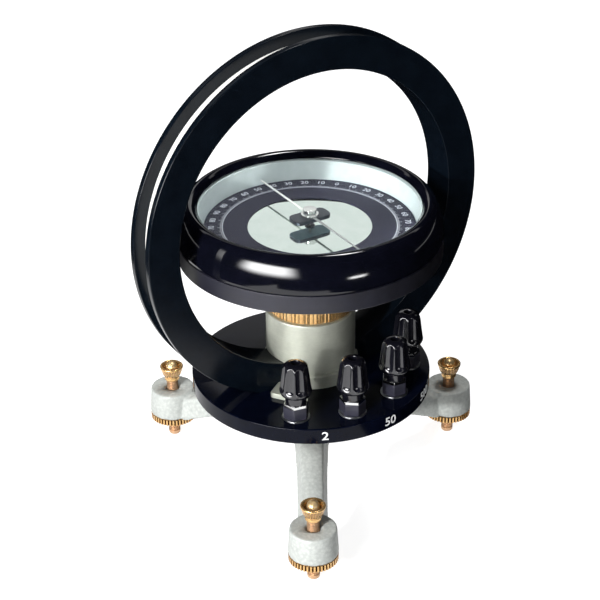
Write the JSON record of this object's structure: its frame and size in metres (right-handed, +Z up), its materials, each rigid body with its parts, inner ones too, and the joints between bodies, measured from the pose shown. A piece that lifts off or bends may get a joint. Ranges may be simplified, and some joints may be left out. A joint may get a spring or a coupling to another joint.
{
  "type": "tangent galvanometer",
  "caption": "Tangent galvanometer: vertical coil ring on a turning disc, mirrored compass box on a pillar, screw terminals and a levelling tripod.",
  "frame": {"origin": "on the vertical turning axis, at the level of the table that the feet stand on", "axes": "+Z up along the turning axis, -Y towards the front foot, +X to the right seen from the front"},
  "size_m": [0.1778, 0.1675, 0.252],
  "materials": {
    "black_plastic": "polished black moulding",
    "silver_casting": "silver hammer paint on a casting",
    "satin_aluminium": "turned, satin",
    "brass": "turned and lacquered",
    "steel": "machined",
    "bright_plate": "nickel plated",
    "white_tape": "white cotton tape",
    "copper_wire": "enamelled copper wire",
    "fibre": "pressed fibre",
    "dial_slate": "dark grey paint with white figures",
    "pale_wall": "pale grey satin",
    "mirror_glass": "silvered glass",
    "clear_glass": "clear",
    "magnet_steel": "blued steel",
    "pointer_aluminium": "thin bright strip",
    "ruby": "jewel bearing"
  },
  "bodies": {
    "tripod": {"tripod": "silver_casting", "spindle_bush": "brass", "thrust_washer": "fibre"},
    "turntable": {"base_disc": "black_plastic", "spindle": "steel", "spindle_screws": "steel", "spindle_washer": "steel", "spindle_nut": "brass", "coil_former": "black_plastic", "winding_500": "copper_wire", "winding_50": "copper_wire", "winding_2": "copper_wire", "rim_cover": "white_tape", "coil_leads": "copper_wire", "pillar": "satin_aluminium", "pillar_screws": "steel", "terminal_washers": "bright_plate", "terminal_studs": "brass", "terminal_nuts": "brass", "terminal_tags": "bright_plate", "terminal_collar_1": "black_plastic", "terminal_collar_2": "black_plastic", "terminal_collar_3": "black_plastic", "terminal_collar_4": "black_plastic"},
    "compass_box": {"compass_stem": "black_plastic", "stem_screws": "steel", "compass_bowl": "black_plastic", "dial_bed": "silver_casting", "dial_ring": "dial_slate", "dial_mirror": "mirror_glass", "wall_liner": "pale_wall", "cover_glass": "clear_glass", "bezel": "black_plastic", "pivot_post": "brass", "pivot_pin": "steel"},
    "clamp_collar": {"clamp_collar": "brass"},
    "needle": {"needle_magnet": "magnet_steel", "needle_pointer": "pointer_aluminium", "jewel_cap": "bright_plate", "jewel": "ruby"},
    "foot_1": {"foot_screw_1": "brass", "foot_cup_1": "brass"},
    "wheel_1": {"foot_wheel_1": "brass"},
    "foot_2": {"foot_screw_2": "brass", "foot_cup_2": "brass"},
    "wheel_2": {"foot_wheel_2": "brass"},
    "foot_3": {"foot_screw_3": "brass", "foot_cup_3": "brass"},
    "wheel_3": {"foot_wheel_3": "brass"},
    "terminal_1_clamp": {"clamp_plate_1": "bright_plate"},
    "terminal_1_knob": {"terminal_knob_1": "black_plastic"},
    "terminal_2_clamp": {"clamp_plate_2": "bright_plate"},
    "terminal_2_knob": {"terminal_knob_2": "black_plastic"},
    "terminal_3_clamp": {"clamp_plate_3": "bright_plate"},
    "terminal_3_knob": {"terminal_knob_3": "black_plastic"},
    "terminal_4_clamp": {"clamp_plate_4": "bright_plate"},
    "terminal_4_knob": {"terminal_knob_4": "black_plastic"}
  },
  "joints": [
    {"name": "turntable_turn", "type": "hinge", "parent": "tripod", "child": "turntable", "pos_m": [0, 0, 0.06], "axis": [0, 0, 1], "continuous": true},
    {"name": "compass_turn", "type": "hinge", "parent": "turntable", "child": "compass_box", "pos_m": [0, 0, 0.12], "axis": [0, 0, 1], "continuous": true},
    {"name": "collar_turn", "type": "hinge", "parent": "compass_box", "child": "clamp_collar", "pos_m": [0, 0, 0.11], "axis": [0, 0, 1], "range_deg": [-90, 90]},
    {"name": "needle_turn", "type": "hinge", "parent": "compass_box", "child": "needle", "pos_m": [0, 0, 0.155], "axis": [0, 0, 1], "continuous": true},
    {"name": "wheel_1_turn", "type": "hinge", "parent": "tripod", "child": "wheel_1", "pos_m": [0, -0.088, 0.0135], "axis": [0, 0, 1], "range_deg": [-1440, 1440]},
    {"name": "foot_1_slide", "type": "slide", "parent": "tripod", "child": "foot_1", "axis": [0, 0, 1], "range_m": [-0.00401, 0.00401]},
    {"name": "wheel_2_turn", "type": "hinge", "parent": "tripod", "child": "wheel_2", "pos_m": [0.07621, 0.044, 0.0135], "axis": [0, 0, 1], "range_deg": [-1440, 1440]},
    {"name": "foot_2_slide", "type": "slide", "parent": "tripod", "child": "foot_2", "axis": [0, 0, 1], "range_m": [-0.00401, 0.00401]},
    {"name": "wheel_3_turn", "type": "hinge", "parent": "tripod", "child": "wheel_3", "pos_m": [-0.07621, 0.044, 0.0135], "axis": [0, 0, 1], "range_deg": [-1440, 1440]},
    {"name": "foot_3_slide", "type": "slide", "parent": "tripod", "child": "foot_3", "axis": [0, 0, 1], "range_m": [-0.00401, 0.00401]},
    {"name": "clamp_1_rise", "type": "slide", "parent": "turntable", "child": "terminal_1_clamp", "axis": [0, 0, 1], "range_m": [0, 0.00281]},
    {"name": "knob_1_turn", "type": "hinge", "parent": "terminal_1_clamp", "child": "terminal_1_knob", "pos_m": [-0.00782, -0.04936, 0.088], "axis": [0, 0, 1], "range_deg": [0, 1440]},
    {"name": "clamp_2_rise", "type": "slide", "parent": "turntable", "child": "terminal_2_clamp", "axis": [0, 0, 1], "range_m": [0, 0.00281]},
    {"name": "knob_2_turn", "type": "hinge", "parent": "terminal_2_clamp", "child": "terminal_2_knob", "pos_m": [0.02033, -0.04566, 0.088], "axis": [0, 0, 1], "range_deg": [0, 1440]},
    {"name": "clamp_3_rise", "type": "slide", "parent": "turntable", "child": "terminal_3_clamp", "axis": [0, 0, 1], "range_m": [0, 0.00281]},
    {"name": "knob_3_turn", "type": "hinge", "parent": "terminal_3_clamp", "child": "terminal_3_knob", "pos_m": [0.04191, -0.02722, 0.088], "axis": [0, 0, 1], "range_deg": [0, 1440]},
    {"name": "clamp_4_rise", "type": "slide", "parent": "turntable", "child": "terminal_4_clamp", "axis": [0, 0, 1], "range_m": [0, 0.00281]},
    {"name": "knob_4_turn", "type": "hinge", "parent": "terminal_4_clamp", "child": "terminal_4_knob", "pos_m": [0.04998, 0, 0.088], "axis": [0, 0, 1], "range_deg": [0, 1440]}
  ],
  "couplings": [
    {"joint": "foot_1_slide", "follows": "wheel_1_turn", "m_per_rad": -0.00015915},
    {"joint": "foot_2_slide", "follows": "wheel_2_turn", "m_per_rad": -0.00015915},
    {"joint": "foot_3_slide", "follows": "wheel_3_turn", "m_per_rad": -0.00015915},
    {"joint": "clamp_1_rise", "follows": "knob_1_turn", "m_per_rad": 0.00011141},
    {"joint": "clamp_2_rise", "follows": "knob_2_turn", "m_per_rad": 0.00011141},
    {"joint": "clamp_3_rise", "follows": "knob_3_turn", "m_per_rad": 0.00011141},
    {"joint": "clamp_4_rise", "follows": "knob_4_turn", "m_per_rad": 0.00011141}
  ]
}
